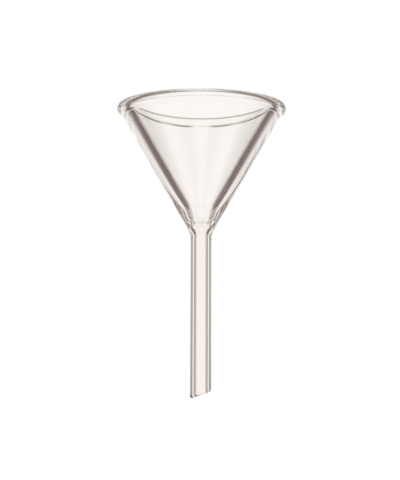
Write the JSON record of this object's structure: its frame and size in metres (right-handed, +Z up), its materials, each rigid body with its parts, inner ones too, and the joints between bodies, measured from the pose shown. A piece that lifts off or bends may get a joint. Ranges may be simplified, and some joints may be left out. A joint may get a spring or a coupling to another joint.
{
  "type": "filter funnel",
  "caption": "Conical laboratory filter funnel in clear heavy-walled glass, with a beaded rim, a short throat and a straight stem cut obliquely at its tip.",
  "frame": {"origin": "on the axis, where the stem's straight wall begins under the shoulder: as far as a stopper or a clamp can slide up the stem", "axes": "+Z up the axis towards the rim; the oblique tip's long side is at -X, so X and Z span the funnel's one mirror plane"},
  "size_m": [0.065, 0.065, 0.1137],
  "materials": {
    "glass": "clear, fire-polished"
  },
  "bodies": {
    "root": {"cone": "glass", "stem": "glass"}
  },
  "joints": []
}
